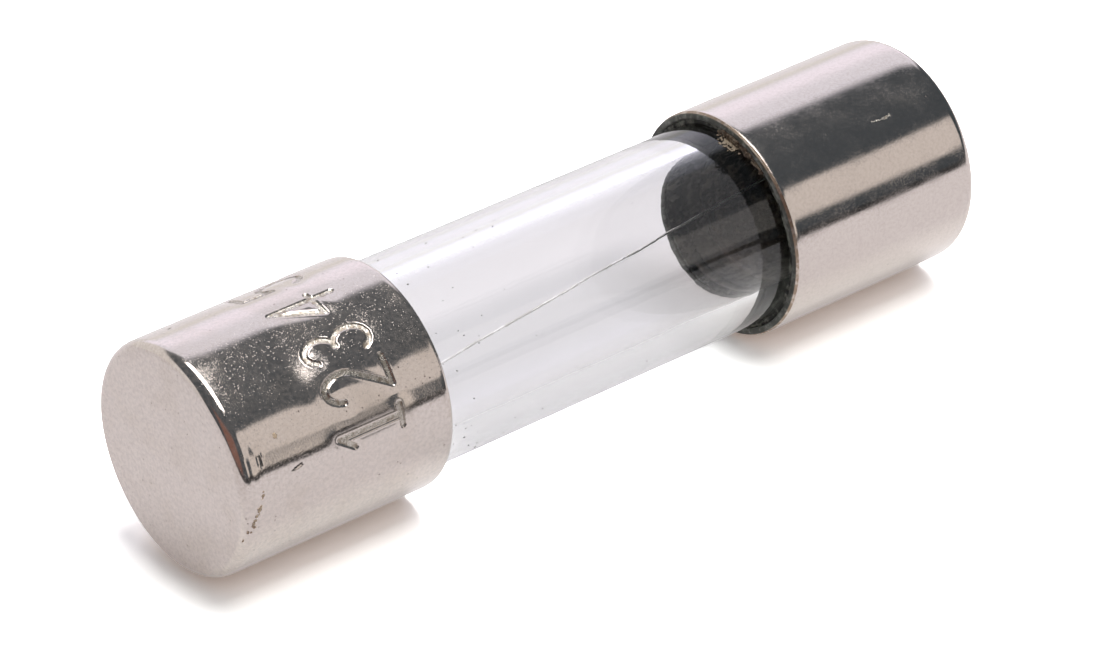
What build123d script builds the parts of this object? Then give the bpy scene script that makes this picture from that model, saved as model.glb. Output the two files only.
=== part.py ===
from build123d import *
import os

# Glass cartridge fuse, 5 x 20 mm size, standing on its plain end cap.
# Units are millimetres. The fuse's axis is +Z, and the origin is the centre of the
# plain cap's outer end face. The stamped cap is on top. The wire lies in the XZ plane,
# slanting from +X at the plain end to -X at the stamped end.

# ---- driving dimensions ----------------------------------------------------------

overall_length = 20.1        # over both end faces
cap_diameter = 5.2           # outside of the contact caps
cap_length = 5.33            # closed end to mouth
cap_wall = 0.18              # drawn side wall
cap_end_wall = 0.25          # closed end, left a little thicker by the drawing
cap_edge_width = 0.22        # rounded edge round the closed end, measured across the end
cap_edge_height = 0.25       # the same edge, measured up the side
cap_corner_bevel = 0.15      # inside, at the foot of the side wall
cap_lip_bevel = 0.05         # both sides of the mouth, broken by tumbling

tube_wall = 0.63             # glass
tube_edge_bevel = 0.08       # both ends, broken after the tube is cut

wire_diameter = 0.06         # fuse element
wire_play = 0.02             # room round the wire, in the gap between glass and cap
wire_tail = 0.80             # length folded down the outside of the glass
wire_fold_radius = 0.09      # centre line of each fold

solder_depth = 0.50          # from the closed end up to the end of the glass
solder_rise = 0.45           # height of the solder's crown inside the bore

cement_recess = 0.90         # the cement stops this far inside the mouth
fit_clearance = 0.01         # between solder or cement and the round walls beside it

# ---- derived dimensions ----------------------------------------------------------

cap_radius = cap_diameter / 2
cap_bore_radius = cap_radius - cap_wall
wire_radius = wire_diameter / 2
cement_gap = wire_diameter + 2 * wire_play
tube_radius = cap_bore_radius - cement_gap
tube_bore_radius = tube_radius - tube_wall
tube_end_height = cap_end_wall + solder_depth
tube_length = overall_length - 2 * tube_end_height
wire_seat = wire_radius + wire_play

tube_end_plane = Plane.XY.offset(tube_end_height)
middle_plane = Plane.XY.offset(overall_length / 2)


# ---- pieces, each made at the lower end of the fuse ---------------------------------

def end_cap():
    """Drawn cup on its closed end: softly rounded edge, straight wall, bevelled lip."""
    with BuildPart() as cap:
        with BuildSketch(Plane.XZ):
            with BuildLine():
                rounded_edge = EllipticalCenterArc(
                    (cap_radius - cap_edge_width, cap_edge_height),
                    cap_edge_width,
                    cap_edge_height,
                    start_angle=270,
                    arc_size=90,
                )
                Polyline(
                    rounded_edge @ 1,
                    (cap_radius, cap_length - cap_lip_bevel),
                    (cap_radius - cap_lip_bevel, cap_length),
                    (cap_bore_radius + cap_lip_bevel, cap_length),
                    (cap_bore_radius, cap_length - cap_lip_bevel),
                    (cap_bore_radius, cap_end_wall + cap_corner_bevel),
                    (cap_bore_radius - cap_corner_bevel, cap_end_wall),
                    (0, cap_end_wall),
                    (0, 0),
                    rounded_edge @ 0,
                )
            make_face()
        revolve(axis=Axis.Z)
    return cap.part


def glass_tube():
    """Straight tube between the solder beds, with the edges of both ends broken."""
    with BuildPart() as tube:
        with BuildSketch(tube_end_plane):
            Circle(tube_radius)
            Circle(tube_bore_radius, mode=Mode.SUBTRACT)
        extrude(amount=tube_length)
        chamfer(tube.edges().filter_by(GeomType.CIRCLE), tube_edge_bevel)
    return tube.part


def fuse_wire():
    """Round wire, drawn slantwise through the bore and folded over both ends of the glass."""
    outside = tube_radius + wire_seat
    inside = tube_bore_radius - wire_seat
    fold_low = tube_end_height - wire_seat
    fold_high = tube_end_height + tube_length + wire_seat
    with BuildPart() as wire:
        with BuildLine(Plane.XZ) as route:
            FilletPolyline(
                (outside, tube_end_height + wire_tail),
                (outside, fold_low),
                (inside, fold_low),
                (-inside, fold_high),
                (-outside, fold_high),
                (-outside, fold_high - wire_seat - wire_tail),
                radius=wire_fold_radius,
            )
        with BuildSketch(Plane(origin=route.line @ 0, z_dir=route.line % 0)):
            Circle(wire_radius)
        sweep()
    return wire.part


def solder_bed(wire):
    """Solder that fills the cap's closed end, crowned inside the bore, round the wire."""
    rim = cap_bore_radius - fit_clearance
    crown_radius = tube_bore_radius - fit_clearance
    with BuildPart() as bed:
        with Locations((0, 0, cap_end_wall)):
            Cylinder(rim, solder_depth, align=(Align.CENTER, Align.CENTER, Align.MIN))
        chamfer(bed.edges().sort_by(Axis.Z)[0], cap_corner_bevel)
        with BuildSketch(Plane.XZ):
            with BuildLine():
                crown = ThreePointArc(
                    (-crown_radius, tube_end_height),
                    (0, tube_end_height + solder_rise),
                    (crown_radius, tube_end_height),
                )
                Line(crown @ 1, crown @ 0)
            make_face()
            split(bisect_by=Plane.YZ)
        revolve(axis=Axis.Z)
        add(wire, mode=Mode.SUBTRACT)
    return bed.part


def cement_ring(side):
    """Cement sleeve between glass and cap, slotted for the wire's tail on one side."""
    ring_length = cap_length - tube_end_height - cement_recess
    slot_centre = tube_radius + cement_gap / 2
    with BuildPart() as ring:
        with BuildSketch(tube_end_plane):
            Circle(cap_bore_radius - fit_clearance)
            Circle(tube_radius + fit_clearance, mode=Mode.SUBTRACT)
        extrude(amount=ring_length)
        with Locations((side * slot_centre, 0, tube_end_height)):
            Box(
                2 * cement_gap,
                cement_gap,
                wire_tail + wire_play,
                align=(Align.CENTER, Align.CENTER, Align.MIN),
                mode=Mode.SUBTRACT,
            )
    return ring.part


def at_top(piece):
    """The same piece at the fuse's upper end, mirrored end for end."""
    return mirror(piece, about=middle_plane)


# ---- assembly ---------------------------------------------------------------------

wire = fuse_wire()
cap = end_cap()

nodes = {
    "plain_end_cap": cap,
    "stamped_end_cap": at_top(cap),
    "glass_tube": glass_tube(),
    "fuse_wire": wire,
    "plain_end_solder": solder_bed(wire),
    "stamped_end_solder": at_top(solder_bed(at_top(wire))),
    "plain_end_cement": cement_ring(side=1),
    "stamped_end_cement": at_top(cement_ring(side=-1)),
}

os.makedirs("parts", exist_ok=True)
for name, piece in nodes.items():
    export_step(piece, f"parts/{name}.step")
    print(f"{name}: {piece.volume:.3f} mm3")
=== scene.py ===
# %% [markdown]
# # A glass cartridge fuse
# A short glass tube with a hair-thin wire drawn slantwise through it and a nickel-plated cap
# pressed over each end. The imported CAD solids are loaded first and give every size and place
# below. They are exact but bare, so each one gets a finished piece that stands for it and
# carries the dents, stamping, dust and wear of a handled fuse. Positions are in millimetres
# and turns are angles round the fuse's axis. Lengths become metres when a mesh is made.

# %% The frame and its sizes
from math import cos, pi, radians, sin, sqrt

import bpy
import numpy as np
from mathutils import Matrix, Vector


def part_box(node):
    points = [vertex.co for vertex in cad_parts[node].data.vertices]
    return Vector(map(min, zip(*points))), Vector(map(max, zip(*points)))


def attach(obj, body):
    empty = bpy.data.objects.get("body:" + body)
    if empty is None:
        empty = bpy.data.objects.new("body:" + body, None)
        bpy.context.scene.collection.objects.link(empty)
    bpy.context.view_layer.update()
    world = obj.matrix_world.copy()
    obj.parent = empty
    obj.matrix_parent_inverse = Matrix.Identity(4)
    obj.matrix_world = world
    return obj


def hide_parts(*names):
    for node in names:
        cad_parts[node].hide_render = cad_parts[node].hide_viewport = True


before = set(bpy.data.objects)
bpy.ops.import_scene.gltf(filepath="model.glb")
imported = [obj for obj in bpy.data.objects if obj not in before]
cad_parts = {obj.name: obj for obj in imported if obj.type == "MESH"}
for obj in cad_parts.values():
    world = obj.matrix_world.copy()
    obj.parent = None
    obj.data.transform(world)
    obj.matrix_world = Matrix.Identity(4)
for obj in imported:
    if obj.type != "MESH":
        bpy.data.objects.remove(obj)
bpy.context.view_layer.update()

MM = 0.001


def node_box(name):
    """Lowest and highest corner of a CAD node, in millimetres."""
    return [np.array(corner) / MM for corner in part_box(name)]


cap_radius, _, cap_length = node_box("plain_end_cap")[1]
overall_length = node_box("stamped_end_cap")[1][2]
tube_low, tube_high = node_box("glass_tube")
cement_low, cement_high = node_box("plain_end_cement")
wire_low, wire_high = node_box("fuse_wire")
tube_radius = tube_high[0]
solder_clearance = 0.01
cap_bore_radius = node_box("plain_end_solder")[1][0] + solder_clearance
print(f"fuse {overall_length:.2f} long, {2 * cap_radius:.2f} across, glass {2 * tube_radius:.2f}")

# %% [markdown]
# ## How the fuse lies
# The library keeps the fuse standing on its plain end, with its axis along Z. On a desk it
# lies on its side, so here the desk leans against the fuse, and "up" is square to the axis.
# Three directions named once (up from the desk, across it, along the fuse) let the lights be
# placed as on a map: by a compass heading and a rise above the desk.

# %% Directions seen from the desk
lie_turn = radians(-100.4)
up_from_desk = Vector((cos(lie_turn), sin(lie_turn), 0))
across_desk = Vector((-sin(lie_turn), cos(lie_turn), 0))
along_fuse = Vector((0, 0, 1))


def heading(compass, rise):
    """Direction from a compass heading on the desk and a rise above it, in degrees."""
    c, r = radians(compass), radians(rise)
    level = across_desk * cos(c) + along_fuse * sin(c)
    return level * cos(r) + up_from_desk * sin(r)


print("up from the desk:", [round(x, 3) for x in up_from_desk])

# %% [markdown]
# ## The camera
# A long lens from about eleven centimetres gives the gentle perspective of a close-up. The
# camera is built from three axes: it looks at a point near the middle of the fuse, and its
# own up is the desk's up, so the view isn't rolled.

# %% Camera
camera_turn = radians(-151.56)
camera_rise = radians(32.62)
camera_distance = 109.94
middle = Vector((0, 0, overall_length / 2))
aim = Vector((-0.167, 0.529, 10.295))

camera_place = middle + camera_distance * Vector((
    cos(camera_turn) * cos(camera_rise),
    sin(camera_turn) * cos(camera_rise),
    sin(camera_rise),
))
looking = (aim - camera_place).normalized()
right = looking.cross(up_from_desk).normalized()
camera_up = right.cross(looking)

lens = bpy.data.cameras.new("close_up_lens")
lens.lens = 167.94
lens.sensor_width = 36
lens.clip_start = 0.001
lens.clip_end = 10
camera = bpy.data.objects.new("close_up_camera", lens)
bpy.context.scene.collection.objects.link(camera)
camera.matrix_world = Matrix.Translation(camera_place * MM) @ Matrix(
    (right, camera_up, -looking)
).transposed().to_4x4()
bpy.context.scene.camera = camera
bpy.context.scene.view_settings.view_transform = "Standard"
print("camera at", [round(x, 2) for x in camera_place], "mm")

# %% [markdown]
# ## Nodes in one line
# Materials are node trees. `add_node` makes a node and fills its sockets in one call: a value
# that is a socket is linked, and anything else is typed in. The other helpers find the tree
# from the sockets they are given (a socket's `id_data`), so that a tree reads like a recipe.

# %% Helpers for node trees


def feed(socket, value):
    """Links a value that is a socket and types in any other. None leaves the socket alone."""
    if isinstance(value, bpy.types.NodeSocket):
        socket.id_data.links.new(value, socket)
    elif value is not None:
        socket.default_value = value


def add_node(tree, kind, inputs=None, **settings):
    """A new shader node with its settings and its named or numbered inputs."""
    made = tree.nodes.new("ShaderNode" + kind)
    for name, value in settings.items():
        setattr(made, name, value)
    for name, value in (inputs or {}).items():
        feed(made.inputs[name], value)
    return made


def calculate(operation, result, *others):
    """Math nodes in a row, each joining one more value to the result so far."""
    sockets = (v for v in (result, *others) if isinstance(v, bpy.types.NodeSocket))
    tree = next(sockets).id_data
    for value in others or (None,):
        result = add_node(tree, "Math", {0: result, 1: value}, operation=operation).outputs[0]
    return result


def times(*values):
    """All the values multiplied."""
    return calculate("MULTIPLY", *values)


def plus(*values):
    """All the values added."""
    return calculate("ADD", *values)


def vector_math(operation, first, second=None, scale=None):
    """A Vector Math node's result: a number for dot products and lengths, else a vector."""
    inputs = {0: first, 1: second, 3: scale}
    tree = (second if operation == "CROSS_PRODUCT" else first).id_data
    made = add_node(tree, "VectorMath", inputs, operation=operation)
    return made.outputs["Value" if operation in ("DOT_PRODUCT", "LENGTH") else "Vector"]


def blend(amount, first, second):
    """Two colours mixed by an amount."""
    inputs = {0: amount, 6: first, 7: second}
    return add_node(amount.id_data, "Mix", inputs, data_type="RGBA").outputs[2]


def step_between(value, low, high):
    """0 at low and 1 at high, with a soft start and end between them. Low may be the larger."""
    inputs = {"Value": value, "From Min": low, "From Max": high}
    made = add_node(value.id_data, "MapRange", inputs, interpolation_type="SMOOTHSTEP")
    return made.outputs[0]


def noise(place, scale, detail, **others):
    """A Noise Texture's value."""
    inputs = {"Vector": place, "Scale": scale, "Detail": detail, **others}
    return add_node(place.id_data, "TexNoise", inputs).outputs["Fac"]


def new_group(name, result, **inputs):
    """An empty shader group: its tree, its inputs and its one result. None is a vector input."""
    tree = bpy.data.node_groups.new(name, "ShaderNodeTree")
    for label, value in inputs.items():
        kind = "NodeSocketVector" if value is None else "NodeSocketFloat"
        label = label.replace("_", " ")
        socket = tree.interface.new_socket(label, in_out="INPUT", socket_type=kind)
        if value is not None:
            socket.default_value = value
    tree.interface.new_socket(result, in_out="OUTPUT", socket_type="NodeSocketFloat")
    given = tree.nodes.new("NodeGroupInput").outputs
    return tree, given, tree.nodes.new("NodeGroupOutput").inputs[0]


def use_group(tree, group, **values):
    """A group's result. Underscores in the names stand for spaces."""
    made = add_node(tree, "Group", node_tree=group)
    for name, value in values.items():
        feed(made.inputs[name.replace("_", " ")], value)
    return made.outputs[0]


# %% [markdown]
# ## The studio
# Polished metal shows the room more than itself, so the room has to be right: a dark studio
# with a white sweep behind the fuse, a wide low lamp with a hotter core, a small strong lamp
# overhead, a cream card and a cream box near the camera, and the end of a wooden bench, which
# is the red-brown line along the stamped cap's edge. All are painted on the world: one group
# draws a soft-edged rectangle in a given direction, and is placed once for each. Light Path
# tells the kinds of ray apart: the camera sees plain white behind everything, and light that
# has passed through glass never meets anything darker than a pale grey.

# %% Group: studio card
tree, given, result = new_group(
    "studio_card", "Mask",
    Direction=None, Centre=None, Half_Width=0.5, Half_Height=0.5, Soft_Edge=0.05,
)
card_side = vector_math("CROSS_PRODUCT", up_from_desk, given["Centre"])
card_side = vector_math("NORMALIZE", card_side)
card_top = vector_math("CROSS_PRODUCT", given["Centre"], card_side)
card_depth = vector_math("DOT_PRODUCT", given["Direction"], given["Centre"])
card_mask = calculate("GREATER_THAN", card_depth, 0.0)
for axis, size in ((card_side, "Half Width"), (card_top, "Half Height")):
    offset = vector_math("DOT_PRODUCT", given["Direction"], axis)
    offset = calculate("ABSOLUTE", calculate("DIVIDE", offset, card_depth))
    outer = plus(given[size], given["Soft Edge"])
    inner = calculate("SUBTRACT", given[size], given["Soft Edge"])
    card_mask = times(card_mask, step_between(offset, outer, inner))
feed(result, card_mask)
card_group = tree
print("group", card_group.name)

# %% The world
room = bpy.data.worlds.new("studio_room")
bpy.context.scene.world = room
room.use_nodes = True
tree = room.node_tree
tree.nodes.clear()
direction = add_node(tree, "TexCoord").outputs["Generated"]

# Each card: compass heading and rise, then half width, half height and soft edge, then light.
studio_cards = {
    "white_sweep": ((10, 0), (1.9, 0.80, 0.12), (1.00, 0.98, 0.96, 1)),
    "wooden_bench": ((130, 20), (0.50, 0.34, 0.14), (0.29, 0.145, 0.11, 1)),
    "cream_card": ((-144, 22), (0.25, 0.217, 0.02), (0.90, 0.85, 0.81, 1)),
    "cream_box": ((-159.3, 0), (0.16, 0.25, 0.006), (0.93, 0.87, 0.81, 1)),
    "low_lamp": ((-36, 28), (0.50, 0.366, 0.075), (1.11, 1.12, 1.25, 1)),
    "lamp_core": ((-33, 20), (0.45, 0.15, 0.12), (1.38, 1.34, 1.52, 1)),
    "overhead_lamp": ((-95, 78), (0.50, 0.18, 0.03), (8.4, 8.3, 8.2, 1)),
}
dark_room = (0.070, 0.085, 0.099, 1)
darkest_through_glass = (0.885, 0.868, 0.895)
studio = dark_room
for at, (width, height, edge), light in studio_cards.values():
    mask = use_group(
        tree, card_group, Direction=direction, Centre=heading(*at),
        Half_Width=width, Half_Height=height, Soft_Edge=edge,
    )
    studio = blend(mask, studio, light)
rays = add_node(tree, "LightPath").outputs
through_glass = vector_math("MAXIMUM", studio, darkest_through_glass)
sky = blend(rays["Is Transmission Ray"], studio, through_glass)
sky = blend(rays["Is Camera Ray"], sky, (1, 1, 1, 1))
background = add_node(tree, "Background", {"Color": sky, "Strength": 1.0})
add_node(tree, "OutputWorld", {"Surface": background.outputs[0]})
room.cycles.sampling_method = "MANUAL"
room.cycles.sample_map_resolution = 1024
print(len(studio_cards), "cards in the room")

# %% [markdown]
# ## The desk
# The desk is a white sheet, seen in two ways. The camera sees paint, lit like anything else,
# so it holds the fuse's soft shadow. Ambient Occlusion measures how tucked-in each point is,
# and the paint is darker and warmer there: a painted contact shadow on top of the lit one.
# Metal and glass see the desk mostly as a glow with painted shade and light in it: painted
# shadow under the fuse, beside the glass (the tube casts no shadow of its own) and past the
# stamped end, and painted light in a band just in front of the fuse. It stops where the sheet
# ends: that end is the thin dark line low on both caps. Every mask is a position on the desk
# in millimetres. Only the sheet's front exists: from behind, the Backfacing value swaps it for
# a clear shader, so that the fuse can be looked at from below too.

# %% Desk
desk_size = 0.8
desk_mesh = bpy.data.meshes.new("desk")
corners = [
    -up_from_desk * cap_radius * MM + (across_desk * x + along_fuse * y) * desk_size / 2
    for x, y in ((-1, -1), (-1, 1), (1, 1), (1, -1))
]
desk_mesh.from_pydata([tuple(c) for c in corners], [], [(0, 1, 2, 3)])
if desk_mesh.polygons[0].normal.dot(up_from_desk) < 0:
    desk_mesh.flip_normals()
desk = bpy.data.objects.new("desk", desk_mesh)
bpy.context.scene.collection.objects.link(desk)

paper = bpy.data.materials.new("white_paper")
paper.use_nodes = True
tree = paper.node_tree
tree.nodes.clear()
rays = add_node(tree, "LightPath").outputs
surface = add_node(tree, "NewGeometry").outputs
tucked_in, under_fuse = (
    add_node(tree, "AmbientOcclusion", {"Distance": reach * MM}, samples=8).outputs["AO"]
    for reach in (0.4, 0.8)
)
across_place = vector_math("DOT_PRODUCT", surface["Position"], -across_desk / MM)
along_place = vector_math("DOT_PRODUCT", surface["Position"], along_fuse / MM)
past_sheet = step_between(across_place, 28.0, 36.0)

# painted contact shadow: the camera's paint is darker and warmer where the desk is tucked in
# under the fuse
bright_paper = blend(tucked_in, (1.35, 1.29, 1.20, 1), (2.34, 2.36, 2.34, 1))
dim_paper = blend(past_sheet, (0.33, 0.33, 0.36, 1), (0.03, 0.03, 0.03, 1))
paint = blend(rays["Is Camera Ray"], dim_paper, bright_paper)
lit = add_node(tree, "BsdfDiffuse", {"Color": paint})

# painted light: the glow is brighter in a band just in front of the fuse
painted_light_band = times(step_between(across_place, 4.4, 2.6), step_between(across_place, 0.3, 1.5))
glow_and_painted_shade = blend(painted_light_band, (0.67, 0.645, 0.64, 1), (0.82, 0.81, 0.785, 1))
# painted shadow: the glow is darker where the fuse hides the desk
glow_and_painted_shade = blend(under_fuse, (0.36, 0.32, 0.31, 1), glow_and_painted_shade)
# painted shadow of the glass tube, which casts none of its own: the glow is darker beside and
# under it
slanted = calculate("SUBTRACT", along_place, times(across_place, 0.2))
painted_glass_shadow = times(
    step_between(across_place, -5.3, -3.7),
    step_between(across_place, 7.0, 3.0),
    step_between(slanted, 4.4, 6.6),
    step_between(slanted, 14.0, 12.3),
)
nearer = step_between(across_place, -1.0, 3.0)
shade = blend(nearer, (0.485, 0.475, 0.465, 1), (0.54, 0.53, 0.51, 1))
glow_and_painted_shade = blend(painted_glass_shadow, glow_and_painted_shade, shade)
# painted shade: the glow is darker past the stamped end
past_end = step_between(along_place, overall_length + 1.0, overall_length + 9.0)
glow_and_painted_shade = blend(past_end, glow_and_painted_shade, (0.585, 0.555, 0.54, 1))
glow_and_painted_shade = blend(past_sheet, glow_and_painted_shade, (0.0, 0.0, 0.0, 1))
mirrored = calculate("MAXIMUM", rays["Is Glossy Ray"], rays["Is Transmission Ray"])
glow = add_node(tree, "Emission", {"Color": glow_and_painted_shade, "Strength": mirrored})

both = add_node(tree, "AddShader", {0: lit.outputs[0], 1: glow.outputs[0]})
clear = add_node(tree, "BsdfTransparent")
front_only = add_node(
    tree, "MixShader", {0: surface["Backfacing"], 1: both.outputs[0], 2: clear.outputs[0]}
)
add_node(tree, "OutputMaterial", {"Surface": front_only.outputs[0]})
desk_mesh.materials.append(paper)
print("desk", desk_size, "m square")

# %% [markdown]
# ## Shared surface effects
# All the finishes need the same few flaws: pits, hairlines, stains, an uneven sheen, a grain.
# Each is one node group that takes a position in millimetres and gives back a mask or a
# height. A material places the groups it needs with its own sizes and amounts.

# %% Group: pits
tree, given, result = new_group(
    "surface_pits", "Mask", Position=None, Per_Millimetre=8.0, Size=0.2, Share=0.3
)
cells = add_node(
    tree, "TexVoronoi",
    {"Vector": given["Position"], "Scale": given["Per Millimetre"], "Randomness": 1.0},
).outputs
drawn = add_node(tree, "SeparateColor", {"Color": cells["Color"]}).outputs[0]
chosen = calculate("LESS_THAN", drawn, given["Share"])
hole = step_between(cells["Distance"], given["Size"], times(given["Size"], 0.5))
feed(result, times(chosen, hole))
pits_group = tree

# %% Group: hairline scratches
tree, given, result = new_group(
    "hairline_scratches", "Mask", Position=None, Per_Millimetre=3.0, Slant=None, Amount=0.5
)
stretched = add_node(
    tree, "Mapping",
    {"Vector": given["Position"], "Rotation": given["Slant"], "Scale": (1.0, 9.0, 0.7)},
).outputs[0]
threads = noise(stretched, given["Per Millimetre"], 1.0, Distortion=0.25)
near_middle = calculate("ABSOLUTE", calculate("SUBTRACT", threads, 0.5))
line = step_between(near_middle, 0.02, 0.003)
bare = calculate("SUBTRACT", 1.0, given["Amount"])
patches = noise(given["Position"], 1.3, 2.0)
shown = step_between(patches, bare, plus(bare, 0.08))
feed(result, times(line, shown))
scratch_group = tree

# %% Group: stains
tree, given, result = new_group(
    "handling_stains", "Mask", Position=None, Per_Millimetre=0.8, Amount=0.5
)
clouds = noise(given["Position"], given["Per Millimetre"], 5.0, Roughness=0.6)
clean = calculate("SUBTRACT", 0.85, times(given["Amount"], 0.5))
feed(result, step_between(clouds, clean, plus(clean, 0.18)))
stain_group = tree

# %% Group: uneven sheen
tree, given, result = new_group(
    "uneven_sheen", "Value", Position=None, Per_Millimetre=2.0, Least=0.1, Most=0.2
)
mottle = noise(given["Position"], given["Per Millimetre"], 4.0, Roughness=0.65)
reach = calculate("SUBTRACT", given["Most"], given["Least"])
spread = times(step_between(mottle, 0.3, 0.7), reach)
feed(result, plus(given["Least"], spread))
sheen_group = tree

# %% Group: fine grain
tree, given, result = new_group("fine_grain", "Height", Position=None, Per_Millimetre=12.0)
fine = noise(given["Position"], given["Per Millimetre"], 3.0, Roughness=0.6)
feed(result, fine)
grain_group = tree
print("shared groups:", ", ".join(sorted(g.name for g in bpy.data.node_groups)))

# %% [markdown]
# ## Materials
# Every finish starts from a Principled shader and a position in millimetres, so that all
# scales read as "so many per millimetre". `effect` places a shared group, and `uneven` gives
# a finish its varied sheen and its grain.

# %% Helpers for materials


def start_material(name, **sockets):
    """A Principled material: the material, its shader, and the position in mm."""
    material = bpy.data.materials.new(name)
    material.use_nodes = True
    tree = material.node_tree
    shader = tree.nodes["Principled BSDF"]
    for label, value in sockets.items():
        shader.inputs[label.replace("_", " ")].default_value = value
    place = add_node(tree, "TexCoord").outputs["Object"]
    return material, shader, vector_math("SCALE", place, scale=1 / MM)


def effect(group, at, per_millimetre, **amounts):
    """A shared surface effect's result at a position."""
    position = {"Position": at, "Per_Millimetre": per_millimetre}
    return use_group(at.id_data, group, **position, **amounts)


def bump(shader, height, depth, below=None):
    """Height into the shader's normal, with its depth in millimetres."""
    inputs = {"Height": height, "Strength": 1.0, "Distance": depth * MM, "Normal": below}
    made = add_node(shader.id_data, "Bump", inputs).outputs[0]
    feed(shader.inputs["Normal"], made)
    return made


def uneven(shader, at, sheen, grain=None):
    """A sheen (per mm, least and most roughness) and a grain (per mm, depth in mm)."""
    rough = effect(sheen_group, at, sheen[0], Least=sheen[1], Most=sheen[2])
    feed(shader.inputs["Roughness"], rough)
    if grain:
        bump(shader, effect(grain_group, at, grain[0]), grain[1])


# %% [markdown]
# ### Nickel plate
# Nickel is a warm grey mirror. Barrel plating leaves it slightly pebbly, which breaks a dark
# reflection into fine glints. A bump that fine only blurs the mirror, so the pebbles are
# spots of extra roughness instead, and thin dark lines stay sharp between them. Handling
# adds pits, hairlines, tea-coloured stains and a film of dust, which is a slightly lower
# Metallic value: a trace of plain scatter that greys only the dark reflections. The stamped
# cap also has one rubbed spot below its digits, where the lamp spreads into a soft patch.

# %% Nickel plate


def nickel_plate(name, gloss, pitting, specking, hazing, pebbling, staining, film, rub=None):
    """Bright nickel with its own share of each flaw, under a film of handling dust."""
    material, shader, at = start_material(name)
    pits = effect(pits_group, at, 6.0, Size=0.15, Share=pitting)
    specks = effect(pits_group, at, 24.0, Size=0.26, Share=specking)
    haze = effect(stain_group, at, 1.7, Amount=hazing)
    stains = effect(stain_group, at, 0.9, Amount=staining)
    marks = effect(scratch_group, at, 2.2, Slant=(0.5, 0.3, 0.9), Amount=0.45)
    sheen = effect(sheen_group, at, 1.6, Least=gloss, Most=gloss + 0.03)
    pebbly = effect(grain_group, at, 26.0)

    dusty = plus(step_between(effect(grain_group, at, 12.0), 0.36, 0.66), 0.5)
    feed(shader.inputs["Metallic"], calculate("SUBTRACT", 1.0, times(dusty, film)))

    tea = times(stains, 0.30)
    colour = blend(tea, (0.620, 0.558, 0.520, 1), (0.50, 0.43, 0.36, 1))
    dulled = step_between(effect(grain_group, at, 15.0), 0.35, 0.75)
    colour = blend(dulled, colour, (0.575, 0.513, 0.472, 1))
    colour = blend(times(pits, 0.75), colour, (0.20, 0.16, 0.14, 1))
    feed(shader.inputs["Base Color"], colour)

    patchy = plus(times(haze, 0.25), 0.75)
    pebbles = times(step_between(pebbly, 0.43, 0.68), patchy, pebbling)
    flaws = ((stains, 0.05), (pits, 0.25), (haze, 0.03))
    rough = plus(sheen, *(times(mask, extra) for mask, extra in flaws), pebbles)
    if rub:
        from_spot = vector_math("LENGTH", vector_math("SUBTRACT", at, rub))
        rubbed = step_between(from_spot, 0.58, 0.08)
        rough = plus(rough, times(rubbed, plus(pebbles, 0.10)))
    feed(shader.inputs["Roughness"], rough)

    grain = bump(shader, pebbly, 0.0005)
    cuts = plus(times(pits, 0.5), times(marks, 0.12), specks)
    bump(shader, times(cuts, -1.0), 0.0009, below=grain)
    return material


rub_turn = radians(-137.5)
rub_spot = (cap_radius * cos(rub_turn), cap_radius * sin(rub_turn), overall_length - 2.46)
stamped_plate = nickel_plate(
    "nickel_plate_stamped", gloss=0.05, pitting=0.35, specking=0.35, hazing=0.7,
    pebbling=0.10, staining=0.75, film=0.125, rub=rub_spot,
)
plain_plate = nickel_plate(
    "nickel_plate_plain", gloss=0.085, pitting=0.006, specking=0.0, hazing=0.8,
    pebbling=0.09, staining=0.5, film=0.02,
)

# %% [markdown]
# ### Mottled finishes
# Everything else but the glass is mottled between two colours, with its own sheen and grain,
# so one function makes all of it. Three of these finishes belong to the caps: the floor of
# every punched stroke is duller and holds grime, the plain cap's lip is worn to a matt
# brownish line, and the inside, which plating hardly reaches and flux blackens, is dull and
# dark, a darkness that is also painted shade of the closed cap. The low side of the plain
# cap's inner wall and of the cement, toward the desk, is painted paler, and one mask serves both.

# %% Mottled finishes


def pale_low_side_mask(at):
    """Mask of the low inner side of the plain cap, toward the desk, where it is painted paler."""
    depth = vector_math("DOT_PRODUCT", at, -up_from_desk)
    height = vector_math("DOT_PRODUCT", at, along_fuse)
    uneven_patches = effect(stain_group, at, 5.0, Amount=0.9)
    return times(
        step_between(depth, 1.70, 2.15),
        step_between(height, cap_length - 0.16, cap_length - 0.26),
        step_between(height, 2.5, 4.5),
        plus(times(uneven_patches, 0.4), 0.6),
    )


def mottled(name, stains, colours, sheen, grain=None, lighter_below=False, **sockets):
    """A finish that turns from one colour to another in stains (per mm, amount)."""
    material, shader, at = start_material(name, **sockets)
    first, second = [(*colour, 1) for colour in colours]
    patches = effect(stain_group, at, stains[0], Amount=stains[1])
    colour = blend(patches, first, second)
    if lighter_below:
        # paler on the low side, toward the desk
        colour = blend(pale_low_side_mask(at), colour, (0.72, 0.73, 0.66, 1))
    feed(shader.inputs["Base Color"], colour)
    uneven(shader, at, sheen, grain)
    return material


struck_plate = mottled(
    "nickel_in_the_strokes", (9.0, 0.8), ((0.52, 0.48, 0.43), (0.31, 0.26, 0.21)),
    sheen=(9.0, 0.22, 0.36), grain=(26.0, 0.010), Metallic=1.0,
)
worn_lip = mottled(
    "nickel_worn_at_the_lip", (6.0, 1.0), ((0.56, 0.48, 0.42), (0.34, 0.26, 0.20)),
    sheen=(6.0, 0.30, 0.50), grain=(20.0, 0.005), Metallic=1.0,
)
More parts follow.
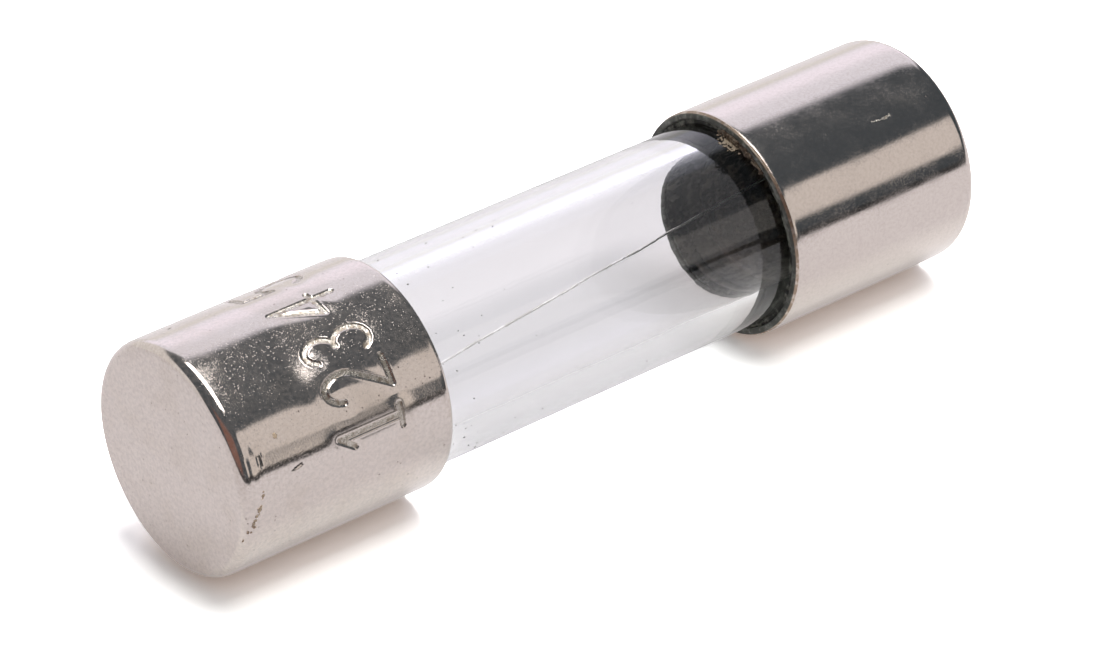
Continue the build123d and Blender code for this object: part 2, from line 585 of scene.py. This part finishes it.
# dull, flux-dark inside; its darkness is also painted shade of the closed cap
cap_inside_and_painted_shade = mottled(
    "cap_inside_flux_and_painted_shade", (4.5, 0.75), ((0.095, 0.10, 0.085), (0.24, 0.25, 0.22)),
    sheen=(3.0, 0.42, 0.62), grain=(8.0, 0.01), lighter_below=True, Metallic=0.3,
)
wire_metal = mottled(
    "fuse_wire_metal", (2.0, 0.9), ((0.90, 0.89, 0.88), (0.66, 0.65, 0.63)),
    sheen=(4.0, 0.25, 0.45), grain=(30.0, 0.002), Metallic=1.0,
)
solder_metal = mottled(
    "dull_solder", (4.0, 0.7), ((0.66, 0.72, 0.66), (0.21, 0.23, 0.20)),
    sheen=(2.0, 0.28, 0.5), grain=(5.0, 0.012), Metallic=1.0,
)
cement_paste = mottled(
    "dark_cement", (4.0, 0.8), ((0.034, 0.037, 0.031), (0.235, 0.245, 0.205)),
    sheen=(3.0, 0.55, 0.8), grain=(10.0, 0.02), lighter_below=True, Specular_IOR_Level=0.25,
)
flux = {"stains": (4.0, 0.8), "sheen": (6.0, 0.45, 0.7), "grain": (16.0, 0.015)}
flux_crust = mottled("tan_flux_crust", colours=((0.27, 0.215, 0.15), (0.15, 0.11, 0.075)), **flux)
flux_smear = mottled("pale_flux_smear", colours=((0.85, 0.69, 0.50), (0.62, 0.47, 0.33)), **flux)
dust_material = mottled(
    "grey_dust", (9.0, 0.8), ((0.06, 0.055, 0.05), (0.16, 0.14, 0.12)), sheen=(9.0, 0.7, 0.95)
)

# %% [markdown]
# ### Glass
# Drawn tubing is clear, and its skin is not perfectly flat. The wall is real in the mesh, so
# the shader only needs its refraction, and a trace of absorption greys the long ways through.

# %% Glass
glass, shader, at = start_material(
    "clear_tubing", Metallic=0.0, IOR=1.5, Transmission_Weight=1.0,
    Base_Color=(0.995, 0.990, 0.995, 1),
)
uneven(shader, at, sheen=(1.0, 0.0, 0.03), grain=(0.9, 0.004))
tree = glass.node_tree
greyed = add_node(tree, "VolumeAbsorption", {"Color": (0.40, 0.40, 0.40, 1), "Density": 135.0})
feed(tree.nodes["Material Output"].inputs["Volume"], greyed.outputs[0])
print(len(bpy.data.materials), "materials")

# %% [markdown]
# ## Turned meshes
# Nearly every piece is turned: a profile carried round the axis. The rings are an array of
# points, so that dents and stamping can be pushed into it before it becomes a mesh.
# `make_skin` joins the rings with four-sided faces and closes the ends with a fan.

# %% Helpers: points into meshes


def new_piece(name, points, faces, material):
    """A smoothly shaded object from points in millimetres."""
    mesh = bpy.data.meshes.new(name)
    mesh.from_pydata((points * MM).tolist(), [], faces)
    mesh.polygons.foreach_set("use_smooth", [True] * len(mesh.polygons))
    mesh.materials.append(material)
    piece = bpy.data.objects.new(name, mesh)
    bpy.context.scene.collection.objects.link(piece)
    return piece


def make_skin(name, rings, material, first=None, last=None, closed=False, flip=False):
    """A mesh from rings of points. first and last are end points, closed joins the two ends."""
    count, around = rings.shape[:2]
    points = rings.reshape(-1, 3)
    row = np.arange(count if closed else count - 1)[:, None]
    col = np.arange(around)[None, :]
    turn_on = (col + 1) % around
    below, above = row * around, (row + 1) % count * around
    faces = np.stack([below + col, below + turn_on, above + turn_on, above + col], -1)
    faces = faces.reshape(-1, 4).tolist()
    if first is not None:
        points = np.vstack([points, first, last])
        tip, end_tip, start = len(points) - 2, len(points) - 1, (count - 1) * around
        faces += [[tip, (k + 1) % around, k] for k in range(around)]
        faces += [[end_tip, start + k, start + (k + 1) % around] for k in range(around)]
    if flip:
        faces = [face[::-1] for face in faces]
    return new_piece(name, points, faces, material)


def all_round(count):
    """Evenly spaced turns, as one row."""
    return np.linspace(0, 2 * pi, count, endpoint=False)[None, :]


def turned(rows, turns):
    """Rings of points from rows of radius and height, each a number, a column or an array."""
    radius, height = (
        np.concatenate([np.atleast_2d(row[k]) + 0 * turns for row in rows]) for k in (0, 1)
    )
    return np.stack([radius * np.cos(turns), radius * np.sin(turns), height], -1)


def place(piece, nodes=(), slot=None):
    """The piece rides on the fuse and stands for its CAD nodes, which it hides. The slot is not
    used.
    """
    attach(piece, "root")
    if nodes:
        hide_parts(*nodes)
    triangles = sum(len(p.vertices) - 2 for p in piece.data.polygons)
    print(f"{piece.name}: {triangles} triangles")


# %% [markdown]
# ## The stamping
# A real fuse is marked with small steel punches, and plain counting digits stand in that place
# here. A punch presses a flat-bottomed channel, throws up a thin burr on both sides and drags
# the wall down around it, which bends the reflections near every stroke. All of that follows
# from one number, the distance to the nearest stroke of the digits.

# %% Digits as strokes


def arc(x, y, wide, high, start, end, steps=12):
    """Points on an arc of an ellipse, in degrees, anticlockwise when end is above start."""
    turn = np.radians(np.linspace(start, end, steps))
    return np.column_stack([x + wide * np.cos(turn), y + high * np.sin(turn)])


digit_strokes = {
    "1": [[(0.15, 0.78), (0.52, 1.0), (0.52, 0.0)], [(0.18, 0.0), (0.86, 0.0)]],
    "2": [arc(0.5, 0.70, 0.44, 0.30, 165, -35), [(0.86, 0.53), (0.06, 0.0), (0.96, 0.0)]],
    "3": [arc(0.46, 0.76, 0.38, 0.24, 150, -90), arc(0.46, 0.27, 0.44, 0.27, 90, -150)],
    "4": [[(0.74, 0.0), (0.74, 1.0), (0.02, 0.32), (1.0, 0.32)]],
    "5": [[(0.90, 1.0), (0.16, 1.0), (0.12, 0.56)], arc(0.46, 0.32, 0.44, 0.32, 140, -150)],
    "6": [arc(0.86, 0.34, 0.78, 0.66, 92, 180), arc(0.50, 0.28, 0.42, 0.28, 180, -180, 18)],
}
digit_turns = {"1": -181.5, "2": -159.5, "3": -139.5, "4": -115.0, "5": -86.0, "6": -63.0}
digit_width = 0.68
digit_low, digit_high = overall_length - 4.06, overall_length - 2.48
per_degree = radians(1) * cap_radius


def straight_bits(line):
    """Each straight bit of a line of points, as its two ends."""
    return list(zip(line[:-1], line[1:]))


def distance_to(ends, x, y):
    """Distance from each point to the nearest of the straight bits."""
    nearest = np.full(np.broadcast(x, y).shape, 9.0)
    for start, end in ends:
        run = end - start
        share = ((x - start[0]) * run[0] + (y - start[1]) * run[1]) / max(run @ run, 1e-9)
        share = np.clip(share, 0, 1)
        gap = np.hypot(x - start[0] - share * run[0], y - start[1] - share * run[1])
        nearest = np.minimum(nearest, gap)
    return nearest


def rise_between(value, low, high):
    """0 below low, 1 above high, smooth between."""
    share = np.clip((value - low) / (high - low), 0, 1)
    return share * share * (3 - 2 * share)


def hump(value, centre, width):
    """A smooth bump of height 1."""
    return np.exp(-(((value - centre) / width) ** 2) / 2)


stroke_bits = []
for digit, strokes in digit_strokes.items():
    for stroke in strokes:
        line = np.array(stroke) * (digit_width, digit_high - digit_low)
        stroke_bits += straight_bits(line + (digit_turns[digit] * per_degree, digit_low))
print(len(stroke_bits), "straight bits of stroke")

# %% [markdown]
# ## Gentle unevenness
# A drawn cap is never a perfect cylinder. Sine waves that fit a whole number of times round
# the cap give a slow waviness with no seam, and a seed keeps it the same on every run.

# %% Helper: slow waviness


def waviness(turns, heights, seed, count=14, finest=9):
    """A smooth field between about -1 and 1, seamless round the axis."""
    random = np.random.default_rng(seed)
    field = np.zeros(np.broadcast(turns, heights).shape)
    for _ in range(count):
        around = random.integers(0, finest + 1)
        up = random.uniform(0.2, 2.4)
        tall = random.uniform(0.4, 1.0)
        field += tall * np.sin(around * turns + up * heights + random.uniform(0, 2 * pi))
    return field / np.sqrt(count)


# %% [markdown]
# ## A cap's profile
# From the middle of the closed end, over the rounded edge, up the side, round the lip and
# back down the inner wall. The rounded edge is a quarter of an ellipse, a little taller than
# it is wide. Just above it the wall still leans in by a few hundredths of a millimetre, and
# the mouth is drawn in as slightly: too little to see as shape, but enough to bend the long
# reflections where they end.

# %% Cap profile
edge_width, edge_height = 0.22, 0.25
taper_start, taper_bend = 0.60, 0.05
end_wall = 0.25
lip_round = 0.05
lip_inset = 0.02
lip_draw, lip_lean = 0.16, 0.022


def taper(heights):
    """How far the wall leans in toward the closed end."""
    return taper_bend * np.clip(taper_start - heights, 0, None) ** 2


def cap_profile(side_heights):
    """Radius and height of each ring outside and inside, with the closed end at 0."""
    end_radii = np.concatenate([[0.04], np.linspace(0.2, cap_radius - edge_width, 14)])
    quarter = np.linspace(0, pi / 2, 20)[1:]
    corner_width = edge_width - taper(0.0)
    corner_height = edge_height - edge_height * np.cos(quarter)
    corner_radii = cap_radius - taper(corner_height) - corner_width * (1 - np.sin(quarter))
    drawn_in = np.clip((side_heights - cap_length + lip_draw) / lip_draw, 0, 1) ** 2
    side_radii = cap_radius - taper(side_heights) - lip_lean * drawn_in
    outside = np.concatenate([
        np.column_stack([end_radii, 0 * end_radii]),
        np.column_stack([corner_radii, corner_height]),
        np.column_stack([side_radii, side_heights]),
    ])
    lip = np.radians(np.linspace(0, 90, 5))
    lip_in, lip_down = lip_round * (1 - np.cos(lip)), lip_round * (1 - np.sin(lip))
    lip_height = cap_length - lip_down
    wall_heights = (cap_length - 0.3, cap_length - 0.8, 3.0, 1.6, 0.7, end_wall + 0.12)
    inside = np.concatenate([
        np.column_stack([cap_radius - lip_inset - lip_in, lip_height]),
        np.column_stack([cap_bore_radius + lip_in, lip_height])[::-1],
        [(cap_bore_radius, h) for h in wall_heights],
        [(cap_bore_radius - 0.05, end_wall + 0.03), (cap_bore_radius - 0.14, end_wall)],
        [(1.0, end_wall), (0.1, end_wall)],
    ])
    return outside, inside


# %% [markdown]
# ## From a profile to a cap
# Depths are pushed into the outside of the profile, the cap is turned from it, and its faces
# get their finishes: dark past the lip, flux-stained and also painted shade, worn on the rows
# just before it if the lip is worn, and another for each mask of marked faces.

# %% Helpers for the caps
DARK_AND_SHADED, WORN, STRUCK, GRIMY = 1, 2, 3, 4
worn_rows = 4


def side_share(outside):
    """1 on a cap's side, fading out round its rounded edge."""
    return rise_between(outside[:, :1], cap_radius - 0.2, cap_radius - 0.01)


def make_cap(name, node, plate, profile, turns, pushed, raised, marks, at_top, worn):
    """A cap with depths pushed into its side and raised from its end, in all its finishes."""
    outside, inside = profile
    rows = [
        (outside[:, :1] + pushed, outside[:, 1:] + raised),
        (inside[:, :1], inside[:, 1:]),
    ]
    ends = [0, end_wall]
    if at_top:
        rows = [(radius, overall_length - height) for radius, height in rows]
        ends = [overall_length, overall_length - end_wall]
    first, last = [(0, 0, height) for height in ends]
    cap = make_skin(name, turned(rows, turns), plate, first=first, last=last, flip=at_top)
    for finish in (cap_inside_and_painted_shade, worn_lip, struck_plate, dust_material):
        cap.data.materials.append(finish)
    around = turns.size
    past_lip = (len(outside) + 2) * around
    index = np.zeros(len(cap.data.polygons), int)
    for marked, finish in marks:
        index[: marked.size][marked.ravel()] = finish
    if worn:
        index[past_lip - worn_rows * around: past_lip] = WORN
    # the inside past the lip: the dark finish, flux-stained and also painted shade
    index[past_lip: (len(outside) + len(inside) - 1) * around] = DARK_AND_SHADED
    index[-around:] = DARK_AND_SHADED
    cap.data.polygons.foreach_set("material_index", index.tolist())
    place(cap, [node], "plated_cap")


# %% [markdown]
# ## The stamped cap
# Each effect is one array of depths over the whole side: the strokes, the dent that the row
# of punches pressed into the thin wall, a knock on the shoulder, short tool marks, the
# hammered floor of the strokes and slow waviness. Rings are close where there is detail.

# %% The stamped cap
punched_rows = np.arange(4.30, 2.24, -0.0205)[::-1]
mouth_rows = np.arange(cap_length - 0.20, cap_length - lip_round - 0.01, 0.02)
stamped_profile = cap_profile(np.concatenate([
    np.arange(0.27, 0.76, 0.02),
    np.arange(0.80, punched_rows[0] - 0.03, 0.07),
    punched_rows,
    np.arange(punched_rows[-1] + 0.05, cap_length - 0.22, 0.06),
    mouth_rows,
]))
fine_turns, coarse_turns = np.arange(-198, -40, 0.45), np.arange(-40, 162, 2.0)
turns = np.radians(np.concatenate([fine_turns, coarse_turns]))[None, :]
degrees_round = np.degrees(turns)
end_radius, from_end = stamped_profile[0][:, :1], stamped_profile[0][:, 1:]
profile_height = overall_length - from_end

to_stroke = distance_to(stroke_bits, turns * cap_radius, profile_height)
channel = -0.022 * rise_between(-to_stroke, -0.075, -0.052)
burr = 0.004 * hump(to_stroke, 0.088, 0.012)
dragged_wall = -0.016 * np.exp(-((to_stroke / 0.20) ** 2))
pressed_wall = -0.042 * hump(degrees_round, -137, 9.0) * hump(from_end, 2.08, 0.27)
shoulder_knock = -0.012 * hump(degrees_round, -166, 7) * hump(from_end, 0.33, 0.07)

# Short tool marks: turn, distance from the end, length, half width, slant and depth of each.
tool_marks = [
    (-167.5, 0.56, 0.30, 0.020, 90, 0.012),
    (-167.0, 0.50, 0.26, 0.016, 88, 0.010),
    (-165.5, 0.63, 0.16, 0.018, 92, 0.008),
    (-176.7, 1.34, 0.26, 0.026, 14, 0.016),
    (-78.0, 0.81, 0.20, 0.020, -60, 0.012),
]
nicked = 0
for turn, down, length, half_width, slant, deep in tool_marks:
    x, y = (degrees_round - turn) * per_degree, from_end - down
    c, s = cos(radians(slant)), sin(radians(slant))
    run, side = y * c + x * s, x * c - y * s
    reach = rise_between(-np.abs(run), -length / 2, -length / 2 + 0.05)
    nicked = nicked - deep * np.exp(-((side / half_width) ** 2)) * reach

random = np.random.default_rng(11)
hammered = random.normal(0, 0.0016, to_stroke.shape) * rise_between(-to_stroke, -0.09, -0.05)
wave = 0.0035 * waviness(turns, profile_height, seed=4)
pushed = channel + burr + dragged_wall + pressed_wall + nicked + hammered + wave
end_wave = 0.004 * waviness(turns, end_radius * 1.3, seed=9, finest=3)
make_cap(
    "nickel_cap_stamped", "stamped_end_cap", stamped_plate, stamped_profile, turns,
    pushed=side_share(stamped_profile[0]) * pushed + shoulder_knock,
    raised=np.abs(end_wave * rise_between(-end_radius, -2.2, -0.3)),
    marks=[(to_stroke < 0.058, STRUCK), (nicked < -0.008, GRIMY)],
    at_top=True, worn=False,
)

# %% [markdown]
# ## The plain cap
# The same profile with less done to it: slow waviness, a worn lip and one faint tick mark.

# %% The plain cap
plain_profile = cap_profile(np.concatenate([
    np.arange(0.28, 0.46, 0.03),
    np.arange(0.50, 1.55, 0.08),
    np.arange(1.56, 2.24, 0.02),
    np.arange(2.30, cap_length - 0.22, 0.07),
    mouth_rows,
]))
fine_turns, coarse_turns = np.arange(-145, -126, 0.5), np.arange(-126, 215, 1.25)
turns = np.radians(np.concatenate([fine_turns, coarse_turns]))[None, :]
height = plain_profile[0][:, 1:]
tick_route = np.array([(-136.1, 1.69), (-136.6, 1.91), (-135.8, 2.21)]) * (per_degree, 1)
to_tick = distance_to(straight_bits(tick_route), turns * cap_radius, height)
pushed = 0.003 * waviness(turns, height, seed=21) - 0.004 * np.exp(-((to_tick / 0.04) ** 2))
make_cap(
    "nickel_cap_plain", "plain_end_cap", plain_plate, plain_profile, turns,
    pushed=side_share(plain_profile[0]) * pushed,
    raised=0,
    marks=[(to_tick < np.where(height < 1.92, 0.030, 0.016), STRUCK)],
    at_top=False, worn=True,
)

# %% [markdown]
# ## The glass tube
# The tube is one closed skin with a real wall, so light bends at four surfaces as it does in
# the real tube, which makes the bright streaks and dark rims without painting any. Both ends
# are slightly rounded, and both walls wave a little.

# %% Glass tube
tube_wall = 0.63
tube_bore_radius = tube_radius - tube_wall
end_round = 0.08
turns = all_round(288)
low_end, high_end = tube_low[2] + end_round, tube_high[2] - end_round
heights = np.linspace(low_end, high_end, 60)[:, None]
outer = tube_radius - 0.0015 * (1 + waviness(turns, heights, seed=31, finest=4) / 3)
bore = tube_bore_radius + 0.003 * waviness(turns, heights, seed=32, finest=4)
quarter = np.radians(np.linspace(0, 90, 5))[:, None]
away, back = quarter[1:], quarter[::-1][:-1]


def outer_edge(bend):
    """Radius of the rounded edge outside, from the wall (0) to the end face (90 degrees)."""
    return tube_radius - end_round * (1 - np.cos(bend))


def inner_edge(bend):
    """The same round the bore."""
    return tube_bore_radius + end_round * (1 - np.cos(bend))


tube = make_skin("glass_tubing", turned([
    (outer, heights),
    (outer_edge(away), high_end + end_round * np.sin(away)),
    (inner_edge(back), high_end + end_round * np.sin(back)),
    (bore[::-1], heights[::-1]),
    (inner_edge(away), low_end - end_round * np.sin(away)),
    (outer_edge(back), low_end - end_round * np.sin(back)),
], turns), glass, closed=True)
tube.visible_shadow = False
tube.visible_diffuse = False
place(tube, ["glass_tube"], "clear_glass")

# %% [markdown]
# ## The fuse wire
# The wire runs from corner to corner of the bore and is folded over both ends of the glass.
# The corners of its route are rounded, small kinks are added, and a ring of points is carried
# along it.

# %% Fuse wire
wire_radius = 0.03
fold_radius = 0.09
tail_end = 0.85
outside_x = wire_high[0] - wire_radius
inside_x = tube_bore_radius - 0.05
fold_low, fold_high = wire_low[2] + wire_radius, wire_high[2] - wire_radius
route = np.array([
    (outside_x, 0, fold_low + tail_end),
    (outside_x, 0, fold_low),
    (inside_x, 0, fold_low),
    (-inside_x, 0, fold_high),
    (-outside_x, 0, fold_high),
    (-outside_x, 0, fold_high - tail_end),
])


def unit(vectors):
    """The same directions, each of length 1."""
    return vectors / np.linalg.norm(vectors, axis=-1, keepdims=True)


def rounded(points, cut, steps=6):
    """The route with each corner replaced by a small curve that starts and ends cut from it."""
    path = [points[0]]
    for before, corner, after in zip(points[:-2], points[1:-1], points[2:]):
        start, end = (corner + unit(side - corner) * cut for side in (before, after))
        for share in np.linspace(0, 1, steps):
            halfway = 2 * share * (1 - share) * corner
            path.append((1 - share) ** 2 * start + halfway + share**2 * end)
    return np.array(path + [points[-1]])


def resampled(path, spacing):
    """Evenly spaced points along a path."""
    lengths = np.linalg.norm(np.diff(path, axis=0), axis=1)
    reach = np.concatenate([[0], np.cumsum(lengths)])
    steps = np.arange(0, reach[-1], spacing)
    return np.column_stack([np.interp(steps, reach, path[:, k]) for k in range(3)])


path = resampled(rounded(route, fold_radius), spacing=0.035)
height = path[:, 2:]
in_bore = rise_between(height, 1.4, 4.0) * rise_between(-height, -18.6, -16.0)
sag = 0.04 * np.sin((height - 1) / 18 * pi) + 0.006 * np.sin(height * 1.9)
sag = sag + 0.003 * np.sin(height * 5.3 + 1)
sway = 0.008 * np.sin(height * 3.1)
path = path + in_bore * (sag * np.array([-0.2, 0.98, 0.0]) + sway * np.array([1, 0, 0]))
ahead = unit(np.gradient(path, axis=0))
sideways = unit(np.cross(ahead, [0, 1, 0]))
upward = np.cross(sideways, ahead)
ring = all_round(12)[..., None]
rings = path[:, None] + wire_radius * (
    np.cos(ring) * sideways[:, None] + np.sin(ring) * upward[:, None]
)
print(f"wire path {len(path)} points")
wire = make_skin("slanting_wire", rings, wire_metal, first=path[0], last=path[-1])
place(wire, ["fuse_wire"], "fuse_wire")

# %% [markdown]
# ## Solder and cement
# Both hide deep inside the caps. The solder bed is crowned inside the bore and a little
# lumpy, as it froze. The cement is a thin sleeve with a ragged upper edge where it crept
# between glass and cap.

# %% Solder beds


def solder_bed(name, node, at_top):
    """A lumpy crowned disc in the closed end of a cap."""
    low, high = node_box(node)
    turns = all_round(96)
    floor, seat = end_wall + 0.002, tube_low[2] - 0.008
    rim, well = cap_bore_radius - 0.012, tube_bore_radius - 0.02
    crown = high[2] - low[2] - 0.5
    across = np.linspace(1, 0.04, 16)
    radii = np.concatenate([[0.1, 1.2, rim - 0.14, rim, rim, rim - 0.02], well * across])
    foot = [floor, floor, floor, end_wall + 0.15, seat - 0.02, seat]
    heights = np.concatenate([foot, seat + crown * (1 - across**2)])
    crowned = (radii < well * 0.98) & (heights > seat)
    radii, heights = radii[:, None], heights[:, None]
    lumpy = waviness(turns, radii * 2.0, seed=41, finest=5) * crowned[:, None]
    heights = heights + 0.02 * lumpy
    if at_top:
        heights = overall_length - heights
    first, last = [(0, 0, heights[k].mean()) for k in (0, -1)]
    rings = turned([(radii, heights)], turns)
    bed = make_skin(name, rings, solder_metal, first=first, last=last, flip=at_top)
    place(bed, [node], "solder")


solder_bed("solder_bed_plain_end", "plain_end_solder", at_top=False)
solder_bed("solder_bed_stamped_end", "stamped_end_solder", at_top=True)

# %% Cement sleeves


def cement_sleeve(name, node, at_top, seed):
    """A thin sleeve between glass and cap with a ragged upper edge."""
    turns = all_round(160)
    inner, outer = tube_radius + 0.006, cap_bore_radius - 0.006
    base = cement_low[2] + 0.004
    edge = cement_high[2] - 0.12 + 0.10 * waviness(turns, 0 * turns, seed=seed, finest=14)
    up = [(0, inner), (0.5, inner), (0.97, inner), (1.0, (inner + outer) / 2)]
    down = [(0.985, outer), (0.5, outer), (0, outer)]
    rows = [(radius, base + (edge - base) * share) for share, radius in up + down]
    if at_top:
        rows = [(radius, overall_length - height) for radius, height in rows]
    sleeve = make_skin(name, turned(rows, turns), cement_paste, closed=True, flip=not at_top)
    place(sleeve, [node], "cement")


cement_sleeve("cement_sleeve_plain_end", "plain_end_cement", at_top=False, seed=51)
cement_sleeve("cement_sleeve_stamped_end", "stamped_end_cement", at_top=True, seed=52)

# %% [markdown]
# ## Flux, a dark ring and dust
# A crust of dried flux bridges the gap at the plain cap's mouth, a pale smear of it has dried
# in flecks on the stamped cap's edge, and dust sits on the glass beside that cap. All are
# little balls, pressed flat and roughened, at seeded places. A dark ring with an uneven crest,
# in the dark cement finish, fills the gap at the plain cap's mouth and makes the gap read dark.

# %% Helper: lumps


def lumps(name, places, material):
    """Small rough lumps: turn in degrees, radius, height, size round, size outward, size up."""
    rows, around = 8, 12
    down, turns = np.linspace(0.06, pi - 0.06, rows)[:, None], all_round(around)
    ball = [
        [start + j, start + k, start + around + k, start + around + j]
        for start in range(0, (rows - 1) * around, around)
        for j, k in zip(range(around), [*range(1, around), 0])
    ]
    ball += [list(range(around))[::-1], list(range((rows - 1) * around, rows * around))]
    points, faces = [], []
    random = np.random.default_rng(len(places))
    for turn, radius, height, wide, thick, tall in places:
        rough = 1 + random.normal(0, 0.13, (rows, around))
        out = np.array([cos(radians(turn)), sin(radians(turn)), 0])
        side = np.array([-out[1], out[0], 0])
        faces += [[len(points) * rows * around + n for n in face] for face in ball]
        x = wide * np.sin(down) * np.cos(turns) * rough
        y = thick * np.sin(down) * np.sin(turns) * rough
        z = tall * np.cos(down) * rough
        centre = out * radius + np.array([0, 0, height])
        lump = centre + x[..., None] * side + y[..., None] * out + z[..., None] * np.eye(3)[2]
        points.append(lump.reshape(-1, 3))
    return new_piece(name, np.concatenate(points), faces, material)


# %% Flux crust and specks
above_glass = 0.004
random = np.random.default_rng(71)
crust_places = []
for _ in range(170):
    turn = random.normal(-108, 4.5) if random.random() < 0.6 else random.uniform(-136, -112)
    radius = random.uniform(tube_radius + 0.01, cap_bore_radius + 0.02)
    height = cap_length + random.uniform(-0.08, 0.01)
    sizes = [random.uniform(*limits) for limits in ((0.03, 0.07), (0.02, 0.05), (0.02, 0.05))]
    crust_places.append((turn, radius, height, *sizes))
for _ in range(130):
    turn = random.normal(-110, 4.0)
    size = random.uniform(0.012, 0.034)
    height = cap_length + abs(random.normal(0, 0.13))
    crust_places.append((turn, tube_radius + above_glass, height, size, 0.010, size))
place(lumps("flux_crust_at_mouth", crust_places, flux_crust), (), "cement")

speck_places = [(-159.3, cap_radius - 0.004, overall_length - 1.04, 0.070, 0.008, 0.060)]
for share in np.sort(random.random(26)):
    down = 0.50 - 0.46 * share
    over_edge = max(0.0, edge_height - down) / edge_height
    radius = cap_radius - edge_width * (1 - sqrt(1 - over_edge**2)) - 0.004
    size = random.uniform(0.014, 0.040)
    turn = -181 - 25 * share + random.normal(0, 1.0)
    speck_places.append((turn, radius, overall_length - down, size, 0.009, size))
place(lumps("flux_specks_on_edge", speck_places, flux_smear), (), "cement")

# %% Dark ring at the mouth
# a dark ring fills the gap at the plain cap's mouth, so the gap reads dark
turns = all_round(200)
crest = cap_length - 0.05 + 0.02 * waviness(turns, 0 * turns, seed=64, finest=30)
foot = cap_length - 0.45
inner, outer = tube_radius + 0.003, cap_bore_radius - 0.003
middle_crest = ((tube_radius + cap_bore_radius) / 2, crest - 0.01)
rows = [(inner, foot), (inner, crest), middle_crest, (outer, crest), (outer, foot)]
dark_gap_ring = make_skin(
    "dark_ring_in_mouth_gap", turned(rows, turns), cement_paste, closed=True, flip=True
)
place(dark_gap_ring, (), "cement")

# %% Dust on the glass
random = np.random.default_rng(72)
dust_places = []
for _ in range(32):
    height = overall_length - cap_length - 0.05 - abs(random.normal(0, 1.6))
    size = random.uniform(0.007, 0.019)
    turn = random.uniform(-230, -70)
    tall = size * random.uniform(0.8, 1.5)
    dust_places.append((turn, tube_radius + above_glass, height, size, 0.008, tall))
for _ in range(14):
    size = random.uniform(0.006, 0.012)
    turn, height = random.uniform(0, 360), random.uniform(5.6, 14.4)
    dust_places.append((turn, tube_radius + above_glass, height, size, 0.006, size))
dust = lumps("dust_on_glass", dust_places, dust_material)
dust.visible_shadow = False
place(dust, (), None)

# %% [markdown]
# ## Finishing
# Dressing a part must not make it bigger. The last line brings the view layer up to date.

bpy.context.view_layer.update()
